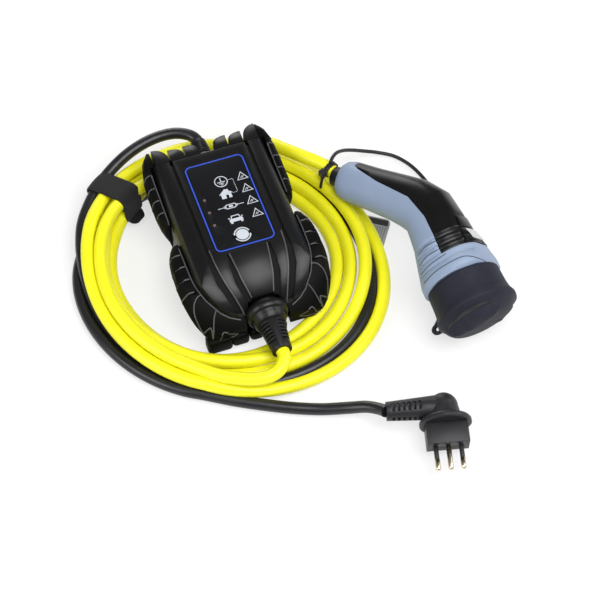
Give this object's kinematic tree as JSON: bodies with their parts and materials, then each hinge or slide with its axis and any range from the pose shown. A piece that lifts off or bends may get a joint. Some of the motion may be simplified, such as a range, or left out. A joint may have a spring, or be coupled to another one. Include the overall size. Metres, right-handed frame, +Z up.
{
  "type": "portable ev charger",
  "caption": "Portable electric car charger: ribbed control box with a panel, a coiled charging lead with an angled capped vehicle connector, and a mains lead with a right-angle plug.",
  "frame": {"origin": "on the floor under the middle of the control box", "axes": "+Y along the box to the mains end, -Y to the charging lead's gland, +Z up out of the panel"},
  "size_m": [0.3147, 0.3616, 0.0706],
  "materials": {
    "black_shell": "satin moulded",
    "panel_film": "printed film",
    "key_film": "printed film",
    "lens_clear": "frosted",
    "seal_rubber": "matte",
    "steel": "plated",
    "plate_grey": "matte film",
    "board_green": "solder mask",
    "part_dark": "moulded",
    "part_bronze": "varnished",
    "part_blue": "sleeved",
    "terminal_green": "moulded",
    "boot_rubber": "satin",
    "lead_yellow": "smooth sheath",
    "mains_black": "smooth sheath",
    "strap_black": "hook and loop",
    "handle_grey": "fine grain",
    "grip_black": "satin",
    "shroud_black": "moulded",
    "contact_silver": "silver plated",
    "cap_rubber": "soft matte",
    "tether_black": "satin",
    "tag_card": "coated card",
    "plug_black": "overmoulded",
    "pin_brass": "nickel plated",
    "sleeve_black": "moulded"
  },
  "bodies": {
    "charger": {"lower_shell": "black_shell", "side_bumpers": "black_shell", "upper_cover": "black_shell", "output_gland": "black_shell", "input_gland": "black_shell", "panel_overlay": "panel_film", "status_lenses": "lens_clear", "housing_seal": "seal_rubber", "housing_screws": "steel", "board_screws": "steel", "side_plates": "plate_grey", "display_board": "board_green", "control_board": "board_green", "key_switch": "part_dark", "power_relays": "part_dark", "residual_current_sensor": "part_dark", "processor_chip": "part_dark", "supply_transformer": "part_bronze", "filter_capacitors": "part_blue", "input_terminals": "terminal_green", "output_terminals": "terminal_green", "output_boot": "boot_rubber", "input_boot": "boot_rubber", "tail_bush": "boot_rubber", "charging_lead_start": "lead_yellow", "cable_coil": "lead_yellow", "charging_lead_end": "lead_yellow", "mains_lead_start": "mains_black", "mains_lead_end": "mains_black", "coil_strap": "strap_black", "handle_shell": "handle_grey", "handle_grip": "grip_black", "nose_plate": "grip_black", "contact_shroud": "shroud_black", "contact_carrier": "shroud_black", "contact_towers": "shroud_black", "power_contacts": "contact_silver", "signal_contacts": "contact_silver", "cap_tether": "tether_black", "tether_tie": "tether_black", "cable_tag": "tag_card", "plug_body": "plug_black", "plug_insert": "plug_black", "line_pin": "pin_brass", "neutral_pin": "pin_brass", "earth_pin": "pin_brass", "pin_sleeves": "sleeve_black"},
    "start_key": {"start_key": "key_film"},
    "dust_cap": {"dust_cap": "cap_rubber"}
  },
  "joints": [
    {"name": "key_press", "type": "slide", "parent": "charger", "child": "start_key", "axis": [0, 0, -1], "range_m": [0, 0.0005], "stiffness_N_per_m": 1500},
    {"name": "cap_pull", "type": "slide", "parent": "charger", "child": "dust_cap", "axis": [0.0688, -0.9839, -0.165], "range_m": [0, 0.035]}
  ]
}
